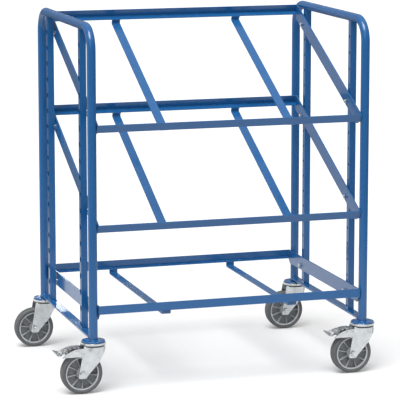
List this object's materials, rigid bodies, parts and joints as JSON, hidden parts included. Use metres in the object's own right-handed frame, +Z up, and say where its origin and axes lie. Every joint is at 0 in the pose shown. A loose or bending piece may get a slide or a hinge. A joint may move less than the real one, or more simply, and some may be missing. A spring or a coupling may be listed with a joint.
{
  "type": "container trolley",
  "caption": "Tube-framed trolley with a level bottom shelf and tilted upper shelves for stacking containers, on swivel casters, the front ones braked.",
  "frame": {"origin": "on the floor, in the middle of the four legs", "axes": "+X to the right across the trolley, +Y from the front with its brakes to the rear, +Z up"},
  "size_m": [1.022, 0.702, 1.108],
  "materials": {
    "blue_paint": "semi-gloss powder coat",
    "zinc_plate": "bright zinc plate",
    "wheel_rim": "moulded, satin",
    "wheel_tyre": "matt",
    "brake_pedal": "dull zinc, ribbed"
  },
  "bodies": {
    "frame": {"left_side_tube": "blue_paint", "right_side_tube": "blue_paint", "front_left_upright": "blue_paint", "front_right_upright": "blue_paint", "rear_left_upright": "blue_paint", "rear_right_upright": "blue_paint", "left_tie_rail": "blue_paint", "right_tie_rail": "blue_paint", "caster_plates": "blue_paint", "top_front_rail": "blue_paint", "top_rear_rail": "blue_paint", "top_left_bar": "blue_paint", "top_right_bar": "blue_paint", "top_left_strap": "blue_paint", "top_right_strap": "blue_paint", "middle_front_rail": "blue_paint", "middle_rear_rail": "blue_paint", "middle_left_bar": "blue_paint", "middle_right_bar": "blue_paint", "middle_left_strap": "blue_paint", "middle_right_strap": "blue_paint", "bottom_front_rail": "blue_paint", "bottom_rear_rail": "blue_paint", "bottom_left_bar": "blue_paint", "bottom_right_bar": "blue_paint", "bottom_left_strap": "blue_paint", "bottom_right_strap": "blue_paint", "shelf_bolts": "zinc_plate", "shelf_washers": "zinc_plate", "shelf_nuts": "zinc_plate", "fl_race": "zinc_plate", "fr_race": "zinc_plate", "rl_race": "zinc_plate", "rr_race": "zinc_plate", "swivel_balls": "zinc_plate", "caster_bolts": "zinc_plate"},
    "fl_caster": {"fl_fork": "zinc_plate", "fl_axle": "zinc_plate", "fl_axle_bush": "zinc_plate", "fl_pedal_pin": "zinc_plate"},
    "fl_wheel": {"fl_rim": "wheel_rim", "fl_tyre": "wheel_tyre"},
    "fl_brake": {"fl_pedal": "brake_pedal"},
    "fr_caster": {"fr_fork": "zinc_plate", "fr_axle": "zinc_plate", "fr_axle_bush": "zinc_plate", "fr_pedal_pin": "zinc_plate"},
    "fr_wheel": {"fr_rim": "wheel_rim", "fr_tyre": "wheel_tyre"},
    "fr_brake": {"fr_pedal": "brake_pedal"},
    "rl_caster": {"rl_fork": "zinc_plate", "rl_axle": "zinc_plate", "rl_axle_bush": "zinc_plate"},
    "rl_wheel": {"rl_rim": "wheel_rim", "rl_tyre": "wheel_tyre"},
    "rr_caster": {"rr_fork": "zinc_plate", "rr_axle": "zinc_plate", "rr_axle_bush": "zinc_plate"},
    "rr_wheel": {"rr_rim": "wheel_rim", "rr_tyre": "wheel_tyre"}
  },
  "joints": [
    {"name": "fl_swivel", "type": "hinge", "parent": "frame", "child": "fl_caster", "pos_m": [-0.431, -0.3135, 0.145], "axis": [0, 0, 1], "continuous": true},
    {"name": "fl_wheel_spin", "type": "hinge", "parent": "fl_caster", "child": "fl_wheel", "pos_m": [-0.469, -0.3135, 0.0625], "axis": [0, 1, 0], "continuous": true},
    {"name": "fl_brake_pedal", "type": "hinge", "parent": "fl_caster", "child": "fl_brake", "pos_m": [-0.487, -0.3135, 0.13], "axis": [0, -1, 0], "range_deg": [0, 12]},
    {"name": "fr_swivel", "type": "hinge", "parent": "frame", "child": "fr_caster", "pos_m": [0.431, -0.3135, 0.145], "axis": [0, 0, 1], "continuous": true},
    {"name": "fr_wheel_spin", "type": "hinge", "parent": "fr_caster", "child": "fr_wheel", "pos_m": [0.393, -0.3135, 0.0625], "axis": [0, 1, 0], "continuous": true},
    {"name": "fr_brake_pedal", "type": "hinge", "parent": "fr_caster", "child": "fr_brake", "pos_m": [0.375, -0.3135, 0.13], "axis": [0, -1, 0], "range_deg": [0, 12]},
    {"name": "rl_swivel", "type": "hinge", "parent": "frame", "child": "rl_caster", "pos_m": [-0.431, 0.3135, 0.145], "axis": [0, 0, 1], "continuous": true},
    {"name": "rl_wheel_spin", "type": "hinge", "parent": "rl_caster", "child": "rl_wheel", "pos_m": [-0.469, 0.3135, 0.0625], "axis": [0, 1, 0], "continuous": true},
    {"name": "rr_swivel", "type": "hinge", "parent": "frame", "child": "rr_caster", "pos_m": [0.431, 0.3135, 0.145], "axis": [0, 0, 1], "continuous": true},
    {"name": "rr_wheel_spin", "type": "hinge", "parent": "rr_caster", "child": "rr_wheel", "pos_m": [0.393, 0.3135, 0.0625], "axis": [0, 1, 0], "continuous": true}
  ]
}
